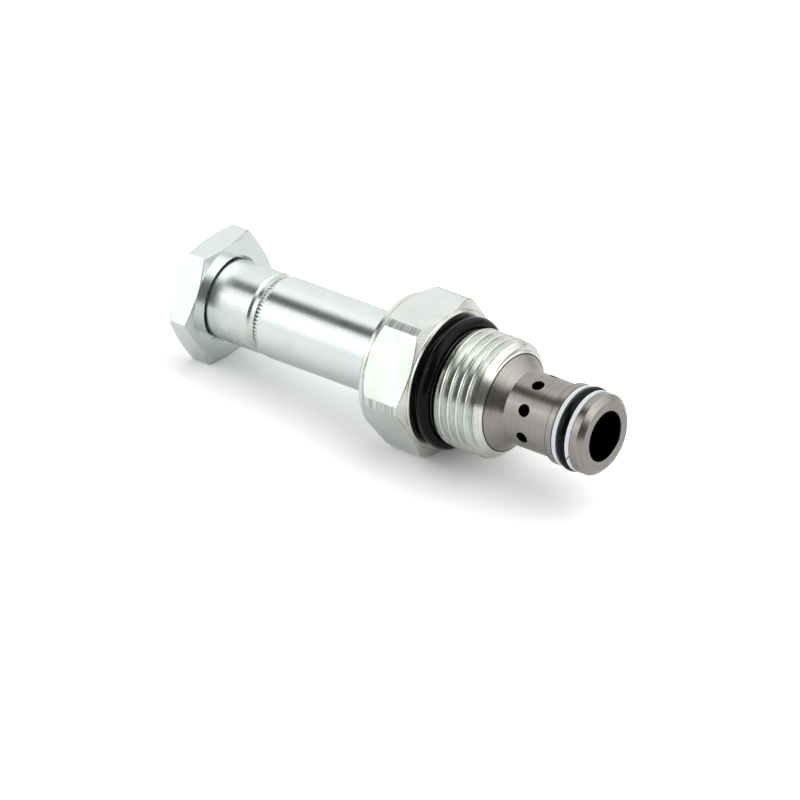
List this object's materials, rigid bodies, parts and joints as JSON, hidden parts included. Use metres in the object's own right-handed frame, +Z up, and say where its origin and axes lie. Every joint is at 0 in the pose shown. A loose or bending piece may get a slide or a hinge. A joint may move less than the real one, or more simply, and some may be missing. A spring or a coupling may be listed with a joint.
{
  "type": "proportional valve",
  "caption": "Screw-in proportional spool valve: hexagon body with a port thread, drilled cage with nose seals, solenoid tube, and a coil nut on its end.",
  "frame": {"origin": "on the surface the valve lies on, below the middle of its length, under its axis", "axes": "+X along the valve's axis towards its nose, +Z up, out of the hexagon's top flat"},
  "size_m": [0.0766, 0.0254, 0.0227],
  "materials": {
    "zinc_plate": "satin clear zinc plate",
    "ground_steel": "ground, fine turning marks",
    "core_iron": "turned",
    "spring_steel": "bright",
    "bronze": "turned",
    "seal_rubber": "smooth, slightly glossy",
    "seal_plastic": "smooth, waxy"
  },
  "bodies": {
    "valve_body": {"adapter_body": "zinc_plate", "port_seal": "seal_rubber", "cage": "ground_steel", "cage_seal": "seal_rubber", "front_backup_ring": "seal_plastic", "nose_seal": "seal_rubber", "rear_backup_ring": "seal_plastic", "guide_tube": "zinc_plate", "tube_seal": "seal_rubber", "end_plug": "zinc_plate", "plug_seal": "seal_rubber", "air_gap_shim": "bronze", "spring_seat": "spring_steel", "bias_spring": "spring_steel", "stem_bush": "bronze"},
    "moving_core": {"armature": "core_iron", "front_glide_ring": "seal_plastic", "rear_glide_ring": "seal_plastic", "drive_pin": "spring_steel", "spool": "ground_steel"},
    "nut": {"coil_nut": "zinc_plate"}
  },
  "joints": [
    {"name": "core_slide", "type": "slide", "parent": "valve_body", "child": "moving_core", "axis": [-1, 0, 0], "range_m": [0, 0.0024], "stiffness_N_per_m": 3900, "springref_m": -0.0005, "deforming": ["bias_spring"]},
    {"name": "nut_turn", "type": "hinge", "parent": "valve_body", "child": "nut", "pos_m": [-0.0358, 0, 0.01135], "axis": [-1, 0, 0], "range_deg": [0, 330]}
  ]
}
